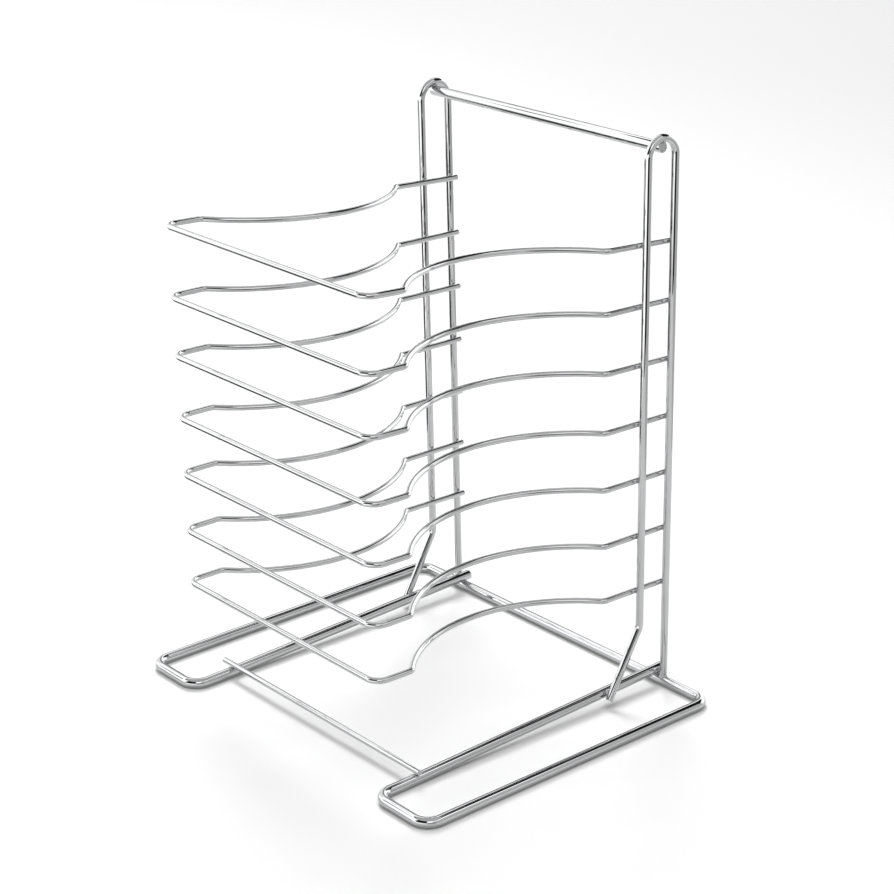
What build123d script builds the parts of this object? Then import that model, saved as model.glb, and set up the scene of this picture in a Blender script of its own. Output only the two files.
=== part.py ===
from build123d import *

import os
from math import atan, cos, degrees, pi, radians, sin, tan

# Sheet pan rack: seven pan shelves bent from thin rod, two hairpin uprights, a
# carrying rod and a base bent from one thick rod, all welded where they cross.
# Millimetres. X is to the right, Y to the rear, Z up; the origin is on the floor
# under the middle of the rack, and the pans go in from the front, at -Y.

# --- rods ---------------------------------------------------------------------
base_rod_d = 9.0
handle_rod_d = 9.0
upright_rod_d = 6.5
shelf_rod_d = 5.0
cross_bar_d = 5.0
weld_sink = 0.25  # how deep one rod sinks into the other at a weld
cut_end_chamfer = 0.5

base_r = base_rod_d / 2
handle_r = handle_rod_d / 2
upright_r = upright_rod_d / 2
shelf_r = shelf_rod_d / 2
cross_bar_r = cross_bar_d / 2

# --- overall sizes --------------------------------------------------------------
rack_height = 487.0
outer_rail_x = 188.0
upright_foot_x = 135.5  # where a leg's centre line would meet the floor
upright_lean = radians(0.41)  # both uprights lean outwards a little
upright_gap = 30.0  # rear leg to front leg, centre to centre
base_depth = 308.5  # rear bar to the fronts of the feet, centre to centre
inner_rail_tail = 6.0  # how far an inner rail reaches behind the middle of the rear bar

rear_y = (base_depth + base_r - inner_rail_tail) / 2  # puts the origin under the middle
front_y = rear_y - base_depth
front_leg_y = rear_y - upright_gap


def leg_x(z):
    """Centre of the right upright's legs at the height z."""
    return upright_foot_x + z * tan(upright_lean)



# --- base -----------------------------------------------------------------------
foot_corner_r = 14.0
rear_corner_r = 14.0
rail_top_z = 3 * base_r - weld_sink  # inner rail's centre where it lies on the rear bar
inner_rail_rear_x = leg_x(rail_top_z) - upright_r - base_r
inner_rail_front_x = inner_rail_rear_x - 1.5
inner_rail_lift_y = front_y + 26.0  # where an inner rail starts to climb
inner_rail_lift_r = 150.0

# --- uprights and handle -----------------------------------------------------------
arch_r = upright_gap / 2
arch_centre_z = rack_height - upright_r - arch_r
brace_bend_z = 65.5
brace_bend_r = 14.0
brace_foot_y = rear_y - 64.3
brace_foot_z = 7.0
handle_z = rack_height - upright_rod_d - handle_r + weld_sink
handle_half_length = leg_x(handle_z) + 1.0
handle_y = rear_y - arch_r

# --- front cross bar ------------------------------------------------------------------
cross_bar_y = rear_y - 267.0
cross_bar_left_x = -138.5
cross_bar_right_x = 131.0

# --- shelves, top to bottom ----------------------------------------------------------
top_shelf_z = 396.5  # height at the rear leg
shelf_pitch = 50.0
shelf_rises = [19.5, 9.5, 9.5, 5.5, 5.5, 4.5, 7.0]  # front bar above the rear leg
shelf_reach = 306.0  # rear leg to front bar
shelf_tail = 0.5  # how far an arm stands out behind the rear leg
toe_in = atan(3.0 / shelf_reach)  # the arms draw together a little towards the front
bow_start = 63.4  # from the rear leg to the rear kink
bow_length = 210.0
bow_depth = 46.5  # how far an arm bows inwards
kink_r = 6.0
shelf_corner_r = 12.0

# --- weld beads -----------------------------------------------------------------------
shelf_bead_r = 3.2
handle_bead_r = 4.0
foot_bead_r = 4.5
rail_bead_r = 4.2
brace_bead_r = 3.5
brace_weld_rise = 2.4  # from the brace's cut end back to where it crosses the rail
cross_bar_bead_r = 2.9

sides = {"left": -1, "right": 1}
sideways = (1, 0, 0)
upwards = (0, 0, 1)


def rail_point(y):
    """Centre of the right inner rail, seen from above, at the depth y."""
    share = (y - front_y) / (rear_y - front_y)
    return inner_rail_front_x + share * (inner_rail_rear_x - inner_rail_front_x)


def rail_height(y):
    """Centre height of an inner rail where it climbs, at the depth y."""
    share = (y - inner_rail_lift_y) / (rear_y - inner_rail_lift_y)
    return base_r + share * (rail_top_z - base_r)


def save(piece, name):
    """Label a finished piece and write it to its own STEP file."""
    piece.part.label = name
    export_step(piece.part, f"parts/{name}.step")


def make_base_wire():
    """Floor-level run first, then the two inner rails that climb to the rear bar."""
    corner_x = rail_point(front_y)
    lift_x = rail_point(inner_rail_lift_y)
    half = [
        (lift_x, inner_rail_lift_y),
        (corner_x, front_y),
        (outer_rail_x, front_y),
        (outer_rail_x, rear_y),
    ]
    other_half = [(-x, y) for x, y in reversed(half)]
    radii = [foot_corner_r, foot_corner_r, rear_corner_r]
    rail_run = Vector(inner_rail_rear_x - lift_x, rear_y - inner_rail_lift_y)
    lift_angle = atan((rail_top_z - base_r) / rail_run.length)
    reach = rail_run.length + inner_rail_tail - inner_rail_lift_r * sin(lift_angle)
    with BuildPart() as base_wire:
        with BuildLine(Plane.XY.offset(base_r)) as floor_run:
            FilletPolyline(half + other_half, radius=radii + radii[::-1])
        with BuildSketch(Plane(floor_run.line @ 0, z_dir=floor_run.line % 0)):
            Circle(base_r)
        sweep(path=floor_run.line)
        for side in sides.values():
            along = Vector(side * rail_run.X, rail_run.Y).normalized()
            start = Vector(side * lift_x, inner_rail_lift_y, base_r)
            climb_plane = Plane(start, x_dir=along, z_dir=along.cross(Vector(0, 0, 1)))
            with BuildLine(climb_plane) as climb:
                bend = JernArc((0, 0), (1, 0), inner_rail_lift_r, degrees(lift_angle))
                PolarLine(bend @ 1, reach, direction=bend % 1)
            with BuildSketch(Plane(start, z_dir=along)):
                Circle(base_r)
            sweep(path=climb.line)
        rail_ends = base_wire.faces().filter_by(GeomType.PLANE).sort_by(Axis.Y)[-2:]
        chamfer(rail_ends.edges(), cut_end_chamfer)
    return base_wire


def notched(rod, others):
    """The rod, hollowed where the other rods sink into it at the welds."""
    with BuildPart() as notched_rod:
        add(rod.part)
        for other in others:
            add(other.part, mode=Mode.SUBTRACT)
    return notched_rod


def make_upright(side):
    """Rear leg, arch, front leg and brace, bent from one rod in one leaning plane."""
    outwards = (cos(upright_lean), 0, -side * sin(upright_lean))
    leaning_plane = Plane((side * upright_foot_x, 0, 0), x_dir=(0, 1, 0), z_dir=outwards)
    with BuildPart() as upright:
        with BuildLine(leaning_plane) as run:
            Line((rear_y, base_rod_d - weld_sink), (rear_y, arch_centre_z))
            CenterArc((handle_y, arch_centre_z), arch_r, 0, 180)
            leg_and_brace = [
                (front_leg_y, arch_centre_z),
                (front_leg_y, brace_bend_z),
                (brace_foot_y, brace_foot_z),
            ]
            FilletPolyline(leg_and_brace, radius=brace_bend_r)
        with BuildSketch(Plane(run.line @ 0, z_dir=run.line % 0)):
            Circle(upright_r)
        sweep(path=run.line)
        brace_end = upright.faces().filter_by(GeomType.PLANE).sort_by(Axis.Y)[0]
        chamfer(brace_end.edges(), cut_end_chamfer)
    return upright


def make_handle_rod():
    """Straight rod under the tops of both arches."""
    with BuildPart() as handle_rod:
        with BuildSketch(Plane.YZ.offset(-handle_half_length)):
            with Locations((handle_y, handle_z)):
                Circle(handle_r)
        extrude(amount=2 * handle_half_length)
        rod_ends = handle_rod.faces().filter_by(GeomType.PLANE)
        chamfer(rod_ends.edges(), cut_end_chamfer)
    return handle_rod


def make_front_cross_bar():
    """Thin straight rod on the inner rails; its left end stands past the rail."""
    bar_z = rail_height(cross_bar_y) + base_r + cross_bar_r - weld_sink
    with BuildPart() as front_cross_bar:
        with BuildSketch(Plane.YZ.offset(cross_bar_left_x)):
            with Locations((cross_bar_y, bar_z)):
                Circle(cross_bar_r)
        extrude(amount=cross_bar_right_x - cross_bar_left_x)
        bar_ends = front_cross_bar.faces().filter_by(GeomType.PLANE)
        chamfer(bar_ends.edges(), cut_end_chamfer)
    return front_cross_bar


def make_shelf(index):
    """One shelf: both arms and the front bar, bent from one rod in a tilted plane."""
    tilt = atan(shelf_rises[index] / shelf_reach)
    rear_z = top_shelf_z - index * shelf_pitch
    origin = (0, rear_y, rear_z)
    shelf_plane = Plane(origin, x_dir=(1, 0, 0), z_dir=(0, sin(tilt), cos(tilt)))
    half_bow = bow_length / 2
    kink_angle = degrees(2 * atan(bow_depth / half_bow))
    bow_r = half_bow / sin(radians(kink_angle)) - kink_r
    front = -shelf_reach / cos(tilt)
    corner_reach = shelf_corner_r * tan((pi / 2 - toe_in) / 2)
    corner_start = front + corner_reach * cos(toe_in)

    def arm_point(y):
        """A point of the right arm's straight parts, y behind the rear leg."""
        welded_x = leg_x(rear_z) - upright_r - shelf_r + weld_sink
        return welded_x + (y + upright_gap / 2) * tan(toe_in), y

    with BuildPart() as shelf:
        with BuildLine(shelf_plane) as outline:
            tail = Line(arm_point(upright_r + shelf_tail), arm_point(-bow_start))
            rear_kink = JernArc(tail @ 1, tail % 1, kink_r, -kink_angle)
            bow = JernArc(rear_kink @ 1, rear_kink % 1, bow_r, 2 * kink_angle)
            front_kink = JernArc(bow @ 1, bow % 1, kink_r, -kink_angle)
            run_in = Line(front_kink @ 1, shelf_plane.from_local_coords(arm_point(corner_start)))
            corner = JernArc(run_in @ 1, run_in % 1, shelf_corner_r, degrees(toe_in) - 90)
            Line(corner @ 1, shelf_plane.from_local_coords((0, front)))
            mirror(about=Plane.YZ)
        with BuildSketch(Plane(tail @ 0, z_dir=tail % 0)):
            Circle(shelf_r)
        sweep(path=outline.line)
        rod_ends = shelf.faces().filter_by(GeomType.PLANE)
        chamfer(rod_ends.edges(), cut_end_chamfer)
    return shelf


def make_beads(centres, bead_r, joint_axis, rods):
    """Round weld beads, cut away where the rods that they join run through."""
    with BuildPart() as beads:
        with Locations(*[Plane(centre, z_dir=joint_axis) for centre in centres]):
            Sphere(bead_r)
        for rod in rods:
            add(rod.part, mode=Mode.SUBTRACT)
    return beads


def shelf_bead_centres(index):
    """Where a shelf's arms cross the four legs."""
    slope = shelf_rises[index] / shelf_reach
    rear_z = top_shelf_z - index * shelf_pitch
    front_z = rear_z + slope * upright_gap
    centres = []
    for side in sides.values():
        centres.append((side * (leg_x(rear_z) - upright_r), rear_y, rear_z))
        centres.append((side * (leg_x(front_z) - upright_r), front_leg_y, front_z))
    return centres


os.makedirs("parts", exist_ok=True)

base_wire = make_base_wire()
save(base_wire, "base_wire")

uprights = [make_upright(side) for side in sides.values()]
for side_name, upright in zip(sides, uprights):
    save(notched(upright, [base_wire]), f"{side_name}_upright")

handle_rod = make_handle_rod()
save(notched(handle_rod, uprights), "handle_rod")

front_cross_bar = make_front_cross_bar()
save(notched(front_cross_bar, [base_wire]), "front_cross_bar")

for index in range(len(shelf_rises)):
    shelf = make_shelf(index)
    save(notched(shelf, uprights), f"shelf_{index + 1}")
    centres = shelf_bead_centres(index)
    shelf_welds = make_beads(centres, shelf_bead_r, sideways, [shelf, *uprights])
    save(shelf_welds, f"shelf_{index + 1}_welds")

arch_welds_z = rack_height - upright_rod_d
handle_welds = make_beads(
    [(side * leg_x(arch_welds_z), handle_y, arch_welds_z) for side in sides.values()],
    handle_bead_r,
    upwards,
    [*uprights, handle_rod],
)
save(handle_welds, "handle_welds")

rail_end_welds = make_beads(
    [(side * inner_rail_rear_x, rear_y, base_rod_d) for side in sides.values()],
    rail_bead_r,
    upwards,
    [base_wire, *uprights],
)
save(rail_end_welds, "rail_end_welds")

upright_foot_welds = make_beads(
    [(side * leg_x(base_rod_d), rear_y, base_rod_d) for side in sides.values()],
    foot_bead_r,
    upwards,
    [base_wire, *uprights, rail_end_welds],
)
save(upright_foot_welds, "upright_foot_welds")

brace_weld_x = rail_point(brace_foot_y) + base_r
brace_weld_y = brace_foot_y + brace_weld_rise
brace_welds = make_beads(
    [(side * brace_weld_x, brace_weld_y, rail_height(brace_weld_y)) for side in sides.values()],
    brace_bead_r,
    sideways,
    [base_wire, *uprights],
)
save(brace_welds, "brace_welds")

cross_bar_weld_z = rail_height(cross_bar_y) + base_r
cross_bar_welds = make_beads(
    [(side * rail_point(cross_bar_y), cross_bar_y, cross_bar_weld_z) for side in sides.values()],
    cross_bar_bead_r,
    upwards,
    [base_wire, front_cross_bar],
)
save(cross_bar_welds, "cross_bar_welds")
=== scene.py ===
from math import atan, ceil, cos, pi, radians, sin, sqrt, tan

import bpy
from mathutils import Matrix, Vector


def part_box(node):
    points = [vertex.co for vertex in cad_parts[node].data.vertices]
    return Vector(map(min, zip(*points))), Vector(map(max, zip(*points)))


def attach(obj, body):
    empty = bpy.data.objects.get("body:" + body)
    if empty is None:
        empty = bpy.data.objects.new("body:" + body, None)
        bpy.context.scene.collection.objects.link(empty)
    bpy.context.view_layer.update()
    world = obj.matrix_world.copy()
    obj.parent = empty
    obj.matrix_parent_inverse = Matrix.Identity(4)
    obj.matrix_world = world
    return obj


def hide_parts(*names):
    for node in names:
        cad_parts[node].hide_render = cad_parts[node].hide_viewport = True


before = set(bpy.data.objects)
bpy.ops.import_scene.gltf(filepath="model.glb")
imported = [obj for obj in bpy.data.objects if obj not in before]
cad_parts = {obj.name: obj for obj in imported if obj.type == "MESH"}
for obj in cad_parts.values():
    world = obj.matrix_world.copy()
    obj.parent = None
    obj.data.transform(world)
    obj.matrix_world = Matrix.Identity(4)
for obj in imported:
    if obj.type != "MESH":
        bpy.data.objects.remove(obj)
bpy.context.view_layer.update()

# Sheet pan rack: seven pan shelves bent from thin rod, two hairpin uprights, a carrying
# rod and a base bent from one thick rod, all welded where they cross and chrome plated.
# Metres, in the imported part's frame: X to the right, Y to the rear, Z up. Places come
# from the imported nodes' boxes. Every rod is a fine smooth tube and every weld a lumpy
# fillet, in place of its CAD node.

millimetre = 0.001

# --- rods, as the CAD model has them -------------------------------------------------
base_r = 4.5 * millimetre
handle_r = 4.5 * millimetre
upright_r = 3.25 * millimetre
shelf_r = 2.5 * millimetre
cross_bar_r = 2.5 * millimetre
weld_sink = 0.25 * millimetre

upright_gap = 30 * millimetre
brace_bend_z = 65.5 * millimetre
brace_bend_r = 14 * millimetre
brace_reach = 64.3 * millimetre
brace_foot_z = 7 * millimetre
upright_lean = radians(0.41)
foot_corner_r = 14 * millimetre
inner_rail_splay = 1.5 * millimetre
inner_rail_lift = 26 * millimetre
inner_rail_lift_r = 150 * millimetre

arch_r = upright_gap / 2
shelf_count = 7
shelf_tail = 0.5 * millimetre
toe_in = atan(3 / 306)
bow_start = 63.4 * millimetre
bow_length = 210 * millimetre
bow_depth = 46.5 * millimetre
kink_r = 6 * millimetre
shelf_corner_r = 12 * millimetre

# --- mesh fineness -------------------------------------------------------------------
tube_sides = 32
arc_step = radians(4)
same_place = 0.001 * millimetre
end_round = 0.5 * millimetre
end_round_steps = 4
weld_sides = 48
weld_steps = 8
weld_edge = radians(40)  # sharper edges than this stay sharp

sides = {"left": -1, "right": 1}
origin = Vector((0, 0, 0))
along_x = Vector((1, 0, 0))
along_y = Vector((0, 1, 0))
up = Vector((0, 0, 1))


def mid(lo, hi):
    """Half way between two values."""
    return (lo + hi) / 2


# --- places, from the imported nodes' boxes --------------------------------------------
base_lo, base_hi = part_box("base_wire")
right_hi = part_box("right_upright")[1]
handle_lo, handle_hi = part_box("handle_rod")
bar_lo, bar_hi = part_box("front_cross_bar")

outer_rail_x = base_hi.x - base_r
front_y = base_lo.y + base_r
rear_y = right_hi.y - upright_r
front_leg_y = rear_y - upright_gap
arch_y = mid(front_leg_y, rear_y)
arch_z = right_hi.z - upright_r
lift_y = front_y + inner_rail_lift
rail_top_z = 3 * base_r - weld_sink
rail_climb = (rail_top_z - base_r) / (rear_y - lift_y)


def leg_x(z):
    """Centre of the right upright's legs, which lean outwards a little."""
    return right_hi.x - upright_r + (z - arch_z) * tan(upright_lean)


inner_rail_rear_x = leg_x(rail_top_z) - upright_r - base_r
inner_rail_front_x = inner_rail_rear_x - inner_rail_splay


def rail_x(y):
    """Centre of the right inner rail, seen from above."""
    share = (y - front_y) / (rear_y - front_y)
    return inner_rail_front_x + share * (inner_rail_rear_x - inner_rail_front_x)


def rail_z(y):
    """Centre height of an inner rail where it climbs."""
    return base_r + (y - lift_y) * rail_climb


# --- tubes ---------------------------------------------------------------------------
def rounded_path(corners, radii):
    """Points and directions along straight runs joined by arcs, one radius a corner."""
    first_way = (corners[1] - corners[0]).normalized()
    last_way = (corners[-1] - corners[-2]).normalized()
    path = [(corners[0], first_way)]
    for before, corner, after, radius in zip(corners, corners[1:], corners[2:], radii):
        way_in = (corner - before).normalized()
        way_out = (after - corner).normalized()
        turn = way_in.angle(way_out)
        axis = way_in.cross(way_out).normalized()
        inward = axis.cross(way_in) * radius
        centre = corner - way_in * radius * tan(turn / 2) + inward
        steps = ceil(turn / arc_step)
        for step in range(steps + 1):
            spin = Matrix.Rotation(turn * step / steps, 3, axis)
            point = centre - spin @ inward
            if (point - path[-1][0]).length > same_place:
                path.append((point, spin @ way_in))
    path.append((corners[-1], last_way))
    return path


def ring_frames(path):
    """Each path point with two directions across the rod that never twist round it."""
    way = path[0][1]
    across = way.orthogonal().normalized()
    frames = []
    for point, next_way in path:
        across = way.rotation_difference(next_way) @ across
        way = next_way
        frames.append((point, way, across, way.cross(across)))
    return frames


def rounded_ends(frames, radius):
    """Rings of a rod, its cut ends rounded over: centre, frame and radius of each."""
    rings = []
    for end, outward in ((0, -1), (-1, 1)):
        point, way, across, along = frames[end]
        end_rings = []
        for step in range(end_round_steps + 1):
            angle = pi / 2 * step / end_round_steps
            inset = end_round * (1 - sin(angle))
            ring_radius = radius - end_round * (1 - cos(angle))
            end_rings.append((point - way * outward * inset, across, along, ring_radius))
        rings.append(end_rings)
    body = [(point, across, along, radius) for point, way, across, along in frames[1:-1]]
    return rings[0][::-1] + body + rings[1]


def ring_points(rings):
    """The rings' points, and how far along the rod each ring lies."""
    points = []
    lengths = []
    length = 0.0
    last_centre = rings[0][0]
    for centre, across, along, ring_radius in rings:
        length += (centre - last_centre).length
        last_centre = centre
        lengths.append(length)
        for side in range(tube_sides):
            angle = 2 * pi * side / tube_sides
            points.append(centre + ring_radius * (cos(angle) * across + sin(angle) * along))
    return points, lengths


def tube_faces(lengths, radius):
    """A tube's side faces and its two caps, with the UV of every corner in metres."""
    faces = []
    uvs = []
    side_width = 2 * pi * radius / tube_sides
    for ring in range(len(lengths) - 1):
        for side in range(tube_sides):
            here = ring * tube_sides
            there = here + tube_sides
            after = (side + 1) % tube_sides
            faces.append((here + side, here + after, there + after, there + side))
            low, high = side * side_width, (side + 1) * side_width
            uvs += [(low, lengths[ring]), (high, lengths[ring])]
            uvs += [(high, lengths[ring + 1]), (low, lengths[ring + 1])]
    last = (len(lengths) - 1) * tube_sides
    for cap in (range(tube_sides - 1, -1, -1), range(last, last + tube_sides)):
        faces.append(tuple(cap))
        for corner in cap:
            angle = 2 * pi * corner / tube_sides
            uvs.append((radius * cos(angle), radius * sin(angle)))
    return faces, uvs


def tube_mesh(name, path, radius):
    """A closed rod along a path. Its UV map holds metres round the rod and along it."""
    points, lengths = ring_points(rounded_ends(ring_frames(path), radius))
    faces, uvs = tube_faces(lengths, radius)
    mesh = bpy.data.meshes.new(name)
    mesh.from_pydata(points, [], faces)
    layer = mesh.uv_layers.new(name="rod_metres")
    for loop, uv in zip(layer.data, uvs):
        loop.uv = uv
    for face in mesh.polygons[:-2]:
        face.use_smooth = True
    for cap in mesh.polygons[-2:]:
        cap.material_index = 1
    return mesh


def add_piece(name, mesh, materials, node):
    """Put a finished mesh in the scene in place of its CAD node."""
    piece = bpy.data.objects.new(name, mesh)
    bpy.context.scene.collection.objects.link(piece)
    for material in materials:
        mesh.materials.append(material)
    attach(piece, "root")
    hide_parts(node)


def join_meshes(name, parts):
    """One mesh of several (points, faces) lumps, smooth all over."""
    points = []
    faces = []
    for part_points, part_faces in parts:
        start = len(points)
        points += part_points
        faces += [tuple(start + corner for corner in face) for face in part_faces]
    mesh = bpy.data.meshes.new(name)
    mesh.from_pydata(points, [], faces)
    for face in mesh.polygons:
        face.use_smooth = True
    mesh.set_sharp_from_angle(angle=weld_edge)
    return mesh


# --- chrome --------------------------------------------------------------------------
def new_material(name):
    """A new material with its nodes, links and shader."""
    material = bpy.data.materials.new(name)
    material.use_nodes = True
    nodes = material.node_tree.nodes
    return material, nodes, material.node_tree.links, nodes["Principled BSDF"]


def noise(nodes, links, coords, scale, detail):
    """Soft noise from 0 to 1, scale waves to a unit of coords."""
    node = nodes.new("ShaderNodeTexNoise")
    node.inputs["Scale"].default_value = scale
    node.inputs["Detail"].default_value = detail
    links.new(coords, node.inputs["Vector"])
    return node.outputs["Fac"]


def ramp(nodes, links, value, low, high, low_colour, high_colour):
    """A colour that runs from one to another as value goes from low to high."""
    node = nodes.new("ShaderNodeValToRGB")
    first, second = node.color_ramp.elements
    first.position, first.color = low, (*low_colour, 1)
    second.position, second.color = high, (*high_colour, 1)
    links.new(value, node.inputs["Fac"])
    return node.outputs["Color"]


def span(nodes, links, value, low, high):
    """value, from 0 to 1, stretched to run from low to high."""
    node = nodes.new("ShaderNodeMapRange")
    node.inputs["To Min"].default_value = low
    node.inputs["To Max"].default_value = high
    links.new(value, node.inputs["Value"])
    return node.outputs["Result"]


def bump(nodes, links, height, depth, normal=None):
    """A normal bent by a height from 0 to 1 that stands for depth metres."""
    node = nodes.new("ShaderNodeBump")
    node.inputs["Distance"].default_value = depth
    links.new(height, node.inputs["Height"])
    if normal:
        links.new(normal, node.inputs["Normal"])
    return node.outputs["Normal"]


def stretched(nodes, links, coords, scale):
    """coords with each axis times its own scale."""
    node = nodes.new("ShaderNodeMapping")
    node.inputs["Scale"].default_value = scale
    links.new(coords, node.inputs["Vector"])
    return node.outputs["Vector"]


def worked_out(nodes, links, operation, *values):
    """A number worked out from sockets and plain numbers."""
    node = nodes.new("ShaderNodeMath")
    node.operation = operation
    for slot, value in zip(node.inputs, values):
        if isinstance(value, bpy.types.NodeSocket):
            links.new(value, slot)
        else:
            slot.default_value = value
    return node.outputs["Value"]


def fade(nodes, links, value, edge, softness):
    """1 while value is under edge, then smoothly down to 0."""
    node = nodes.new("ShaderNodeMapRange")
    node.interpolation_type = "SMOOTHSTEP"
    node.inputs["From Min"].default_value = edge + softness
    node.inputs["From Max"].default_value = edge - softness
    links.new(value, node.inputs["Value"])
    return node.outputs["Result"]


# Each pattern's waves to a metre, its contrast, the greys and roughness that it runs
# between, and how deep its bumps are.
wide_contrast = (0.3, 0.7)
narrow_contrast = (0.35, 0.65)
plate_tone_scale = 14
plate_wave_scale = 90
plate_wave_depth = 0.02 * millimetre
draw_line_scale = (2400, 14, 1)  # round the rod, along it
draw_line_depth = 0.001 * millimetre
draw_line_roughness = (0.005, 0.035)
plate_greys = ((0.55, 0.555, 0.56), (0.61, 0.615, 0.62))
shear_mark_scale = (600, 600, 3200)
shear_mark_depth = 0.02 * millimetre
shear_mark_roughness = (0.18, 0.36)
shear_mark_greys = ((0.42, 0.425, 0.43), (0.56, 0.565, 0.57))
weld_lump_scale = 700
weld_lump_depth = 0.05 * millimetre
weld_lump_roughness = (0.08, 0.22)
weld_greys = ((0.42, 0.425, 0.43), (0.62, 0.625, 0.63))


def rod_chrome():
    """Bright chrome plate over drawn wire: faint lines along the rod, soft waves in it."""
    material, nodes, links, shader = new_material("bright_chrome")
    metres = nodes.new("ShaderNodeUVMap")
    metres.uv_map = "rod_metres"
    place = nodes.new("ShaderNodeTexCoord").outputs["Object"]
    tone = noise(nodes, links, place, plate_tone_scale, detail=3)
    tint = ramp(nodes, links, tone, *wide_contrast, *plate_greys)
    links.new(tint, shader.inputs["Base Color"])
    drawn = stretched(nodes, links, metres.outputs["UV"], draw_line_scale)
    draw_lines = noise(nodes, links, drawn, scale=1, detail=2)
    links.new(span(nodes, links, draw_lines, *draw_line_roughness), shader.inputs["Roughness"])
    waves = noise(nodes, links, place, plate_wave_scale, detail=1)
    soft = bump(nodes, links, waves, plate_wave_depth)
    fine = bump(nodes, links, draw_lines, draw_line_depth, soft)
    links.new(fine, shader.inputs["Normal"])
    shader.inputs["Metallic"].default_value = 1
    return material


def cut_chrome():
    """Plated cut ends: duller, with the shear's marks across them."""
    material, nodes, links, shader = new_material("cut_end_chrome")
    place = nodes.new("ShaderNodeTexCoord").outputs["Object"]
    marked = stretched(nodes, links, place, shear_mark_scale)
    marks = noise(nodes, links, marked, scale=1, detail=3)
    tint = ramp(nodes, links, marks, *narrow_contrast, *shear_mark_greys)
    links.new(tint, shader.inputs["Base Color"])
    links.new(span(nodes, links, marks, *shear_mark_roughness), shader.inputs["Roughness"])
    links.new(bump(nodes, links, marks, shear_mark_depth), shader.inputs["Normal"])
    shader.inputs["Metallic"].default_value = 1
    return material


def weld_chrome():
    """Plate over a weld: a little darker and duller, on slightly lumpy metal."""
    material, nodes, links, shader = new_material("weld_chrome")
    place = nodes.new("ShaderNodeTexCoord").outputs["Object"]
    lumps = noise(nodes, links, place, weld_lump_scale, detail=2)
    tint = ramp(nodes, links, lumps, *wide_contrast, *weld_greys)
    links.new(tint, shader.inputs["Base Color"])
    links.new(span(nodes, links, lumps, *weld_lump_roughness), shader.inputs["Roughness"])
    links.new(bump(nodes, links, lumps, weld_lump_depth), shader.inputs["Normal"])
    shader.inputs["Metallic"].default_value = 1
    return material


rod_materials = [rod_chrome(), cut_chrome()]
weld_materials = [weld_chrome()]

# --- weld fillets --------------------------------------------------------------------
weld_overlap = 0.03 * millimetre  # how far a fillet's edges sink into the rods
weld_heart = 0.25  # where its hidden inner edge runs, as a share of its reach
flank_share = 1.6  # how far round a rod's flank it may climb, in radii
broad_lumps = 3  # swellings round a weld, and how much of its reach each adds
broad_swell = 0.06
fine_lumps = 7
fine_swell = 0.04
lump_turn = 1000  # radians a metre: turns the swellings differently at each weld


def curve(start, control, end):
    """Points of a hollow curve between two edges, in (reach, height)."""
    points = []
    for step in range(weld_steps + 1):
        t = step / weld_steps
        weights = ((1 - t) ** 2, 2 * t * (1 - t), t**2)
        points.append([
            sum(weight * point[part] for weight, point in zip(weights, (start, control, end)))
            for part in (0, 1)
        ])
    return points


def lumpy(reach, angle, centre):
    """A reach that wanders a little round the weld, differently at each one."""
    phase = lump_turn * (centre.x + centre.y + centre.z)
    broad = broad_swell * sin(broad_lumps * angle + phase)
    fine = fine_swell * sin(fine_lumps * angle + 2 * phase)
    return reach * (1 + broad + fine)


def ring_lump(centre, axis, profile):
    """A closed ring of weld metal: profile gives its section in each direction.

    centre is the middle of the ring and axis points through it. The section's points
    are (reach from the axis, height along it).
    """
    first = axis.orthogonal().normalized()
    second = axis.cross(first)
    points = []
    for side in range(weld_sides):
        angle = 2 * pi * side / weld_sides
        out = cos(angle) * first + sin(angle) * second
        section = profile(out, angle)
        points += [centre + reach * out + height * axis for reach, height in section]
    count = len(section)
    faces = []
    for side in range(weld_sides):
        here, there = side * count, (side + 1) % weld_sides * count
        for step in range(count):
            after = (step + 1) % count
            faces.append((here + step, there + step, there + after, here + after))
    return points, faces


def rod_side(way, radius, out, reach):
    """A rod's surface beside its nearest line: reach along out, fall and slope there."""
    share = out.cross(way).length
    reach /= sqrt(1 + (reach * share / (flank_share * radius)) ** 2)
    rest = sqrt(radius**2 - (reach * share) ** 2)
    return reach, radius - rest, reach * share**2 / rest


def cross_weld(centre, normal, behind, before, reach, overlap=weld_sink):
    """The fillet where two crossing rods, each (way, radius), touch or nearly touch."""

    def profile(out, angle):
        width = lumpy(reach, angle, centre)
        low_reach, low_fall, low_slope = rod_side(*behind, out, width)
        high_reach, high_fall, high_slope = rod_side(*before, out, width)
        low = overlap / 2 - low_fall
        high = high_fall - overlap / 2
        drop = low - high + low_slope * low_reach + high_slope * high_reach
        root = max(drop / (low_slope + high_slope), weld_heart * width)
        control = (root, low + low_slope * (low_reach - root))
        start = (low_reach, low - weld_overlap)
        end = (high_reach, high + weld_overlap)
        return curve(start, control, end) + [(weld_heart * width, 0)]

    return ring_lump(centre, normal, profile)


def foot_weld(side):
    """The fillet round a rear leg's foot, where it stands on the rear bar."""
    centre = Vector((side * leg_x(2 * base_r), rear_y, base_r))

    def profile(out, angle):
        width = lumpy(foot_weld_reach, angle, centre) * (1 - foot_weld_pinch * out.y**2)
        reach = upright_r + width
        height = sqrt(base_r**2 - (reach * out.y) ** 2)
        slope = reach * out.y**2 / height
        root = (upright_r, height + slope * width)
        top = (upright_r - weld_overlap, root[1] + foot_weld_rise)
        heart = (upright_r / 2, base_r / 2)
        return curve(top, root, (reach, height - weld_overlap)) + [heart]

    return ring_lump(centre, up, profile)


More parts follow.
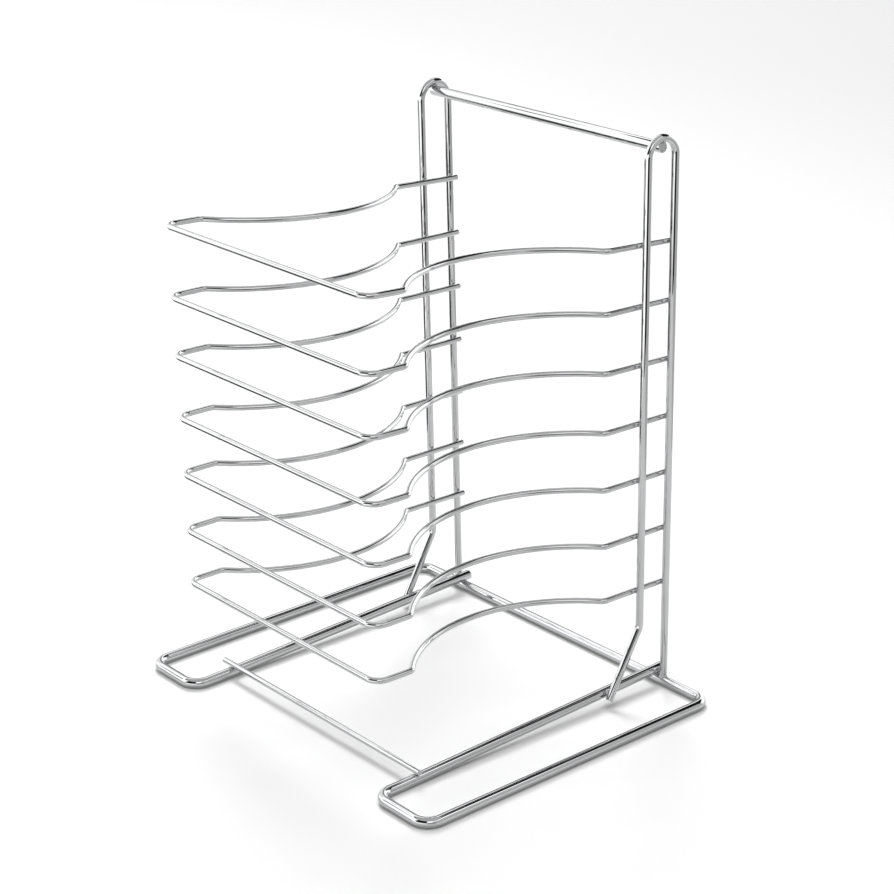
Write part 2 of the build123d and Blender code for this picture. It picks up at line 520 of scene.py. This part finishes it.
# --- rods ----------------------------------------------------------------------------
def base_run():
    """Round the floor: left inner rail, both feet and the rear bar, right inner rail."""
    half = [
        Vector((rail_x(lift_y), lift_y, base_r)),
        Vector((rail_x(front_y), front_y, base_r)),
        Vector((outer_rail_x, front_y, base_r)),
        Vector((outer_rail_x, rear_y, base_r)),
    ]
    climb_end_y = base_hi.y - base_r * rail_climb
    climb_end = Vector((rail_x(climb_end_y), climb_end_y, rail_z(climb_end_y)))
    half.insert(0, climb_end)
    radii = [inner_rail_lift_r, foot_corner_r, foot_corner_r, foot_corner_r]
    other_half = [Vector((-point.x, point.y, point.z)) for point in reversed(half)]
    return rounded_path(half + other_half, radii + radii[::-1])


def upright_run(side):
    """Rear leg, arch, front leg and brace."""
    side_view = [
        (rear_y, 2 * base_r - weld_sink),
        (rear_y, arch_z),
        (front_leg_y, arch_z),
        (front_leg_y, brace_bend_z),
        (rear_y - brace_reach, brace_foot_z),
    ]
    corners = [Vector((side * leg_x(z), y, z)) for y, z in side_view]
    return rounded_path(corners, [arch_r, arch_r, brace_bend_r])


def shelf_run(lo, hi):
    """Right arm, front bar and left arm of the shelf in this box."""
    tail = upright_r + shelf_tail
    rear_end = Vector((hi.x - shelf_r, rear_y + tail, lo.z + shelf_r))
    bar_y = lo.y + shelf_r
    corner_x = rear_end.x - (rear_end.y - bar_y) * tan(toe_in)
    front_end = Vector((corner_x, bar_y, hi.z - shelf_r))
    forward = (front_end - rear_end).normalized()
    inward = forward.cross(up).normalized()
    kink_angle = 2 * atan(bow_depth / (bow_length / 2))
    bow_r = bow_length / 2 / sin(kink_angle) - kink_r
    kink_reach = kink_r * tan(kink_angle / 2)
    slant_length = kink_reach + bow_r * tan(kink_angle)
    rear_kink = rear_end + forward * (tail + bow_start + kink_reach)
    front_kink = rear_kink + forward * 2 * slant_length * cos(kink_angle)
    slant = forward * cos(kink_angle) + inward * sin(kink_angle)
    bow_corner = rear_kink + slant * slant_length
    right = [rear_end, rear_kink, bow_corner, front_kink, front_end]
    left = [Vector((-point.x, point.y, point.z)) for point in reversed(right)]
    radii = [kink_r, bow_r, kink_r]
    return rounded_path(right + left, radii + [shelf_corner_r] * 2 + radii)


def straight_run(lo, hi):
    """A straight rod along X in this box."""
    y, z = mid(lo.y, hi.y), mid(lo.z, hi.z)
    return rounded_path([Vector((lo.x, y, z)), Vector((hi.x, y, z))], [])


def add_rod(node, path, radius):
    """A chrome rod in place of its CAD node."""
    mesh = tube_mesh(f"{node}_chrome", path, radius)
    add_piece(f"{node}_chrome", mesh, rod_materials, node)


add_rod("base_wire", base_run(), base_r)
for side_name, side in sides.items():
    add_rod(f"{side_name}_upright", upright_run(side), upright_r)
add_rod("handle_rod", straight_run(handle_lo, handle_hi), handle_r)
add_rod("front_cross_bar", straight_run(bar_lo, bar_hi), cross_bar_r)
for number in range(1, shelf_count + 1):
    add_rod(f"shelf_{number}", shelf_run(*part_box(f"shelf_{number}")), shelf_r)

# --- welds ---------------------------------------------------------------------------
shelf_weld_reach = 2.5 * millimetre
handle_weld_reach = 3.2 * millimetre
cross_bar_weld_reach = 2.4 * millimetre
rail_weld_reach = 3.4 * millimetre
rail_leg_weld_reach = 3 * millimetre
brace_weld_reach = 3 * millimetre
foot_weld_reach = 1.4 * millimetre
foot_weld_rise = 1.6 * millimetre
foot_weld_pinch = 0.4  # how much less it reaches over the bar's flanks


def add_welds(node, lumps):
    """A group of weld fillets in place of their CAD node."""
    mesh = join_meshes(f"{node}_fillets", lumps)
    add_piece(f"{node}_fillets", mesh, weld_materials, node)


def shelf_welds(lo, hi):
    """A shelf's four welds, on the inner sides of the legs."""
    rear_z = lo.z + shelf_r
    front_z = hi.z - shelf_r
    slope = (front_z - rear_z) / (rear_y - lo.y - shelf_r)
    arm = (Vector((0, -1, slope)).normalized(), shelf_r)
    lumps = []
    for side in sides.values():
        leg = (Vector((side * sin(upright_lean), 0, cos(upright_lean))), upright_r)
        for y in (rear_y, front_leg_y):
            z = rear_z + slope * (rear_y - y)
            spot = Vector((side * (leg_x(z) - upright_r + weld_sink / 2), y, z))
            lumps.append(cross_weld(spot, -side * along_x, leg, arm, shelf_weld_reach))
    return lumps


def paired_welds(x, y, z, normal, behind, before, reach, overlap=weld_sink):
    """The same weld on both sides; normal points as on the right side."""
    lumps = []
    for side in sides.values():
        spot = Vector((side * x, y, z))
        mirrored = Vector((side * normal.x, normal.y, normal.z))
        lumps.append(cross_weld(spot, mirrored, behind, before, reach, overlap))
    return lumps


def rail_end_lumps():
    """Each inner rail's end: over the rear bar, and against the rear leg."""
    rail = (along_y, base_r)
    over_bar_z = 2 * base_r - weld_sink / 2
    lumps = paired_welds(
        inner_rail_rear_x, rear_y, over_bar_z, up, (along_x, base_r), rail, rail_weld_reach
    )
    leg_side_x = leg_x(rail_top_z) - upright_r
    lumps += paired_welds(
        leg_side_x, rear_y, rail_top_z, along_x, rail, (up, upright_r), rail_leg_weld_reach, 0
    )
    return lumps


def brace_lumps():
    """Each brace's lower end, against the outer side of its inner rail."""
    run = Vector((0, front_leg_y - rear_y + brace_reach, brace_bend_z - brace_foot_z))
    run = run.normalized()
    y = rear_y - brace_reach
    climb = (rail_z(y) - brace_foot_z) / run.z
    y += climb * run.y
    z = rail_z(y)
    rail_side = rail_x(y) + base_r
    brace_side = leg_x(z) - upright_r
    brace = (run, upright_r)
    rail = (along_y, base_r)
    x = mid(rail_side, brace_side)
    gap = brace_side - rail_side
    return paired_welds(x, y, z, along_x, rail, brace, brace_weld_reach, -gap)


for number in range(1, shelf_count + 1):
    add_welds(f"shelf_{number}_welds", shelf_welds(*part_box(f"shelf_{number}")))
arch_under_z = handle_hi.z - weld_sink / 2
handle_way = (along_x, handle_r)
arch_way = (along_y, upright_r)
add_welds("handle_welds", paired_welds(
    leg_x(arch_under_z), arch_y, arch_under_z, up, handle_way, arch_way, handle_weld_reach
))
add_welds("rail_end_welds", rail_end_lumps())
add_welds("upright_foot_welds", [foot_weld(side) for side in sides.values()])
add_welds("brace_welds", brace_lumps())
bar_y = mid(bar_lo.y, bar_hi.y)
bar_under_z = bar_lo.z + weld_sink / 2
rail_way = (along_y, base_r)
bar_way = (along_x, cross_bar_r)
add_welds("cross_bar_welds", paired_welds(
    rail_x(bar_y), bar_y, bar_under_z, up, rail_way, bar_way, cross_bar_weld_reach
))

# --- camera --------------------------------------------------------------------------
aim = Vector((0, 0.001, 0.2))
camera_azimuth = radians(50.979)
camera_elevation = radians(22.096)
camera_roll = radians(-1.393)
camera_distance = 1.9706
camera_lens = 95.31  # millimetres, as is the sensor's width
sensor_width = 36
camera_shift = (0.0290, 0.0268)


def add_camera():
    """The camera, above the rack's right front corner."""
    toward = Vector((
        sin(camera_azimuth) * cos(camera_elevation),
        -cos(camera_azimuth) * cos(camera_elevation),
        sin(camera_elevation),
    ))
    data = bpy.data.cameras.new("camera")
    data.sensor_width = sensor_width
    data.lens = camera_lens
    data.shift_x, data.shift_y = camera_shift
    camera = bpy.data.objects.new("camera", data)
    bpy.context.scene.collection.objects.link(camera)
    camera.rotation_mode = "QUATERNION"
    look = (-toward).to_track_quat("-Z", "Y")
    camera.rotation_quaternion = look @ Matrix.Rotation(camera_roll, 3, "Z").to_quaternion()
    camera.location = aim + toward * camera_distance
    bpy.context.scene.camera = camera


add_camera()


# --- stage and light -----------------------------------------------------------------
toward_camera = Vector((sin(camera_azimuth), -cos(camera_azimuth), 0))
camera_left = Vector((toward_camera.y, -toward_camera.x, 0))

# The studio as the chrome mirrors it. Each patch of its walls, ceiling and dark floor:
# the middle direction and half width round the horizon, the lowest and highest elevation,
# how softly it ends (all in degrees), and its brightness. Later ones lie over earlier ones.
backdrop = 1.0
open_wall = 1.8
bright_floor = 0.95
floor_line = -7.0
floor_line_softness = 1
most_level_softness = 3  # how softly a patch may end above and below
studio_patches = {
    "wall behind on the left": (164, 14, -7, 37, 3, 1.2),
    "corner behind on the left": (141, 9, -1, 34, 3, 0.35),
    "grey wall on the right": (25, 42, -1, 41, 8, 0.65),
    "seam between two soft boxes": (-153, 5, 29, 42, 1, 0.05),
    "dark room in front": (-76, 30, 12, 52, 5, 0.01),
    "grey corner in front": (-25, 22, -1, 24, 8, 0.3),
    "dark gap round the ceiling": (0, 180, 52, 58, 1, 0.03),
    "dark gap behind": (90, 32, 32, 58, 3, 0.01),
    "grey ceiling": (0, 180, 58, 90, 2, 0.6),
    "dull floor to the right": (38, 36, -90, -2, 8, 0.6),
    "dark floor on the left": (-128, 16, -90, -8, 6, 0.25),
    "bright floor in front": (-82, 22, -20, -2, 4, 2.0),
    "dark floor in front": (-26, 24, -90, -2, 6, 0.01),
}

# Metres, except brightness, grey and watts. A pair is where a change is half done and
# how far it spreads to each side.
floor_half_side = 20
near_floor = 0.9
# The floor's painted shade: its grey far behind the rack, standing in for the lamps' light
# falling off.
far_floor_painted_shade = 0.64
painted_shade_from = (1.7, 1.6)
glow_from = (7.5, 4.0)
table_glow = 0.25
card_black = 0.02
table_centre = camera_left * -0.1
table_half_sides = (toward_camera * 0.87, camera_left * 0.55)
left_gap_centre = camera_left * 1.05 - toward_camera * 0.1 + up * -0.3
left_gap_half_sides = (toward_camera * 0.55, up * 0.4)
rear_beam_centre = Vector((0.05, 0.8, 1.1))
rear_beam_half_sides = (along_x * 0.6, up * 0.3)
key_place = Vector((-3.5, 2.2, 4.8))
key_side = 2.6
key_power = 290
fill_target = toward_camera * 1.5
fill_place = fill_target + up * 6
fill_side = 9
fill_power = 470


def plane(name, centre, along, across, material):
    """A flat rectangle, its half sides given as vectors."""
    mesh = bpy.data.meshes.new(name)
    corners = [centre - along - across, centre + along - across]
    corners += [centre + along + across, centre - along + across]
    mesh.from_pydata(corners, [], [(0, 1, 2, 3)])
    mesh.materials.append(material)
    obj = bpy.data.objects.new(name, mesh)
    bpy.context.scene.collection.objects.link(obj)
    return obj


def only_mirrored(obj):
    """Leave an object out of everything but reflections."""
    obj.visible_camera = False
    obj.visible_diffuse = False
    obj.visible_shadow = False
    obj.visible_transmission = False


def matt(name, level):
    """A plain matt grey."""
    material, _, _, shader = new_material(name)
    shader.inputs["Base Color"].default_value = (level, level, level, 1)
    shader.inputs["Roughness"].default_value = 0.9
    shader.inputs["Specular IOR Level"].default_value = 0.0
    return material


def glow_white(material, strength):
    """White light of its own, for a material. Returns the input for its strength."""
    shader = material.node_tree.nodes["Principled BSDF"]
    shader.inputs["Emission Color"].default_value = (1, 1, 1, 1)
    shader.inputs["Emission Strength"].default_value = strength
    return shader.inputs["Emission Strength"]


def painted_shade_behind(material):
    """Painted shade: the pale floor's colour grows a little greyer far behind the rack, on the
    right, where the lamps' light falls off.
    """
    nodes, links = material.node_tree.nodes, material.node_tree.links
    behind = nodes.new("ShaderNodeVectorMath")
    behind.operation = "DOT_PRODUCT"
    links.new(nodes.new("ShaderNodeTexCoord").outputs["Object"], behind.inputs[0])
    behind.inputs[1].default_value = -toward_camera - camera_left
    nearness = fade(nodes, links, behind.outputs["Value"], *painted_shade_from)
    tone = ramp(nodes, links, nearness, 0, 1, (far_floor_painted_shade,) * 3, (near_floor,) * 3)
    links.new(tone, nodes["Principled BSDF"].inputs["Base Color"])


def bright_far_off(material):
    """Let the floor glow beyond the lights' reach, so that it meets the pale backdrop."""
    nodes, links = material.node_tree.nodes, material.node_tree.links
    distance = nodes.new("ShaderNodeVectorMath")
    distance.operation = "LENGTH"
    links.new(nodes.new("ShaderNodeTexCoord").outputs["Object"], distance.inputs[0])
    nearness = fade(nodes, links, distance.outputs["Value"], *glow_from)
    glow = worked_out(nodes, links, "SUBTRACT", 1, nearness)
    links.new(glow, glow_white(material, 0))


def area_light(name, location, target, side, power):
    """A square lamp that lights the rack and floor but doesn't show in the chrome."""
    data = bpy.data.lights.new(name, "AREA")
    data.shape = "RECTANGLE"
    data.size = side
    data.size_y = side
    data.energy = power
    light = bpy.data.objects.new(name, data)
    bpy.context.scene.collection.objects.link(light)
    light.visible_glossy = False
    light.location = location
    way = target - location
    light.rotation_mode = "QUATERNION"
    light.rotation_quaternion = way.to_track_quat("-Z", "Y")


def studio_brightness(nodes, links):
    """How bright the studio is in each direction. A plain pale backdrop hides it."""
    direction = nodes.new("ShaderNodeTexCoord").outputs["Generated"]
    parts = nodes.new("ShaderNodeSeparateXYZ")
    links.new(direction, parts.inputs["Vector"])
    x, y, z = parts.outputs
    elevation = worked_out(nodes, links, "ARCSINE", z)
    azimuth = worked_out(nodes, links, "ARCTAN2", y, x)
    below = fade(nodes, links, elevation, radians(floor_line), radians(floor_line_softness))
    drop = worked_out(nodes, links, "MULTIPLY", below, bright_floor - open_wall)
    brightness = worked_out(nodes, links, "ADD", drop, open_wall)
    for middle, half_width, lowest, highest, softness, level in studio_patches.values():
        turn = worked_out(nodes, links, "SUBTRACT", azimuth, radians(middle))
        turn = worked_out(nodes, links, "ARCCOSINE", worked_out(nodes, links, "COSINE", turn))
        lift = worked_out(nodes, links, "SUBTRACT", elevation, radians((lowest + highest) / 2))
        lift = worked_out(nodes, links, "ABSOLUTE", lift)
        edge = min(softness, most_level_softness)
        inside = worked_out(
            nodes,
            links,
            "MULTIPLY",
            fade(nodes, links, turn, radians(half_width), radians(softness)),
            fade(nodes, links, lift, radians((highest - lowest) / 2), radians(edge)),
        )
        change = worked_out(nodes, links, "SUBTRACT", level, brightness)
        change = worked_out(nodes, links, "MULTIPLY", change, inside)
        brightness = worked_out(nodes, links, "ADD", brightness, change)
    mirrored = worked_out(nodes, links, "SUBTRACT", brightness, backdrop)
    seen = nodes.new("ShaderNodeLightPath").outputs["Is Camera Ray"]
    unseen = worked_out(nodes, links, "SUBTRACT", 1, seen)
    mirrored = worked_out(nodes, links, "MULTIPLY", mirrored, unseen)
    return worked_out(nodes, links, "ADD", mirrored, backdrop)


def add_studio():
    """The world that the chrome mirrors. It doesn't light the floor."""
    world = bpy.data.worlds.new("studio")
    world.use_nodes = True
    nodes, links = world.node_tree.nodes, world.node_tree.links
    background = nodes["Background"]
    background.inputs["Color"].default_value = (1, 1, 1, 1)
    links.new(studio_brightness(nodes, links), background.inputs["Strength"])
    world.cycles_visibility.diffuse = False
    bpy.context.scene.world = world


def add_floor():
    """The pale floor, as the camera sees it and the shadows fall on it."""
    pale = matt("pale_floor", near_floor)
    # painted shade: the floor's colour greys far behind the rack
    painted_shade_behind(pale)
    bright_far_off(pale)
    along, across = floor_half_side * along_x, floor_half_side * along_y
    floor = plane("floor", origin, along, across, pale)
    floor.visible_glossy = False
    floor.visible_shadow = False


def add_cards():
    """What stands near the rack and shows only in the chrome."""
    # Painted light: the table that the chrome mirrors glows with light of its own, on top of
    # the lamps' light.
    glowing_grey = matt("glowing_table", near_floor)
    glow_white(glowing_grey, table_glow)
    dark = matt("black_flag", card_black)
    cards = [
        plane("table", table_centre, *table_half_sides, glowing_grey),
        plane("left_gap", left_gap_centre, *left_gap_half_sides, dark),
        plane("rear_beam", rear_beam_centre, *rear_beam_half_sides, dark),
    ]
    for card in cards:
        only_mirrored(card)


add_studio()
add_floor()
add_cards()
area_light("key", key_place, origin, key_side, key_power)
area_light("fill", fill_place, fill_target, fill_side, fill_power)
bpy.context.scene.view_settings.view_transform = "Standard"
